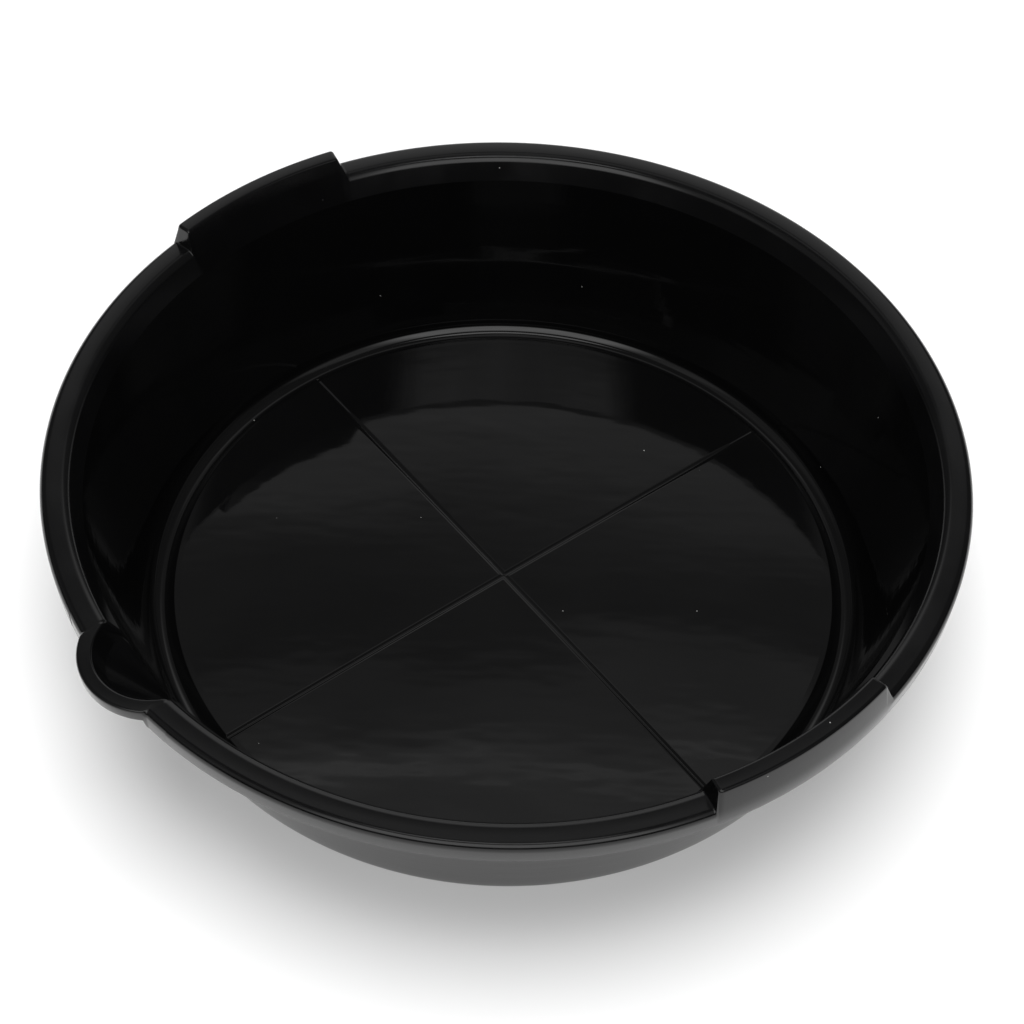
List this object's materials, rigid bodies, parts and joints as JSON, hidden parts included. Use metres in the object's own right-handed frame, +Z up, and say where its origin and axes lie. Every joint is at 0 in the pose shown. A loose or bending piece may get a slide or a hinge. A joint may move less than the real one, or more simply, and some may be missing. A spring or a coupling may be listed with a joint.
{
  "type": "oil drain pan",
  "caption": "Round open plastic drain pan with sloping sides, a rolled rim, raised finger grips on opposite sides and a half-round pour spout between them.",
  "frame": {"origin": "where the pan's round axis meets the ground, in the plane of the ring that the pan stands on", "axes": "+Z up; the pour spout points along -Y; the two raised grips lie on -X and +X"},
  "size_m": [0.43, 0.4408, 0.111],
  "materials": {
    "glossy_black_plastic": "polished moulded black plastic, faintly wavy, with fine scratches",
    "satin_black_plastic": "moulded black plastic of the rim, a little less polished"
  },
  "bodies": {
    "root": {"floor": "glossy_black_plastic", "foot_ring": "glossy_black_plastic", "side_wall": "glossy_black_plastic", "rim_rear": "satin_black_plastic", "rim_front_left": "satin_black_plastic", "rim_front_right": "satin_black_plastic", "grip_left": "satin_black_plastic", "grip_right": "satin_black_plastic", "pour_spout": "satin_black_plastic"}
  },
  "joints": []
}
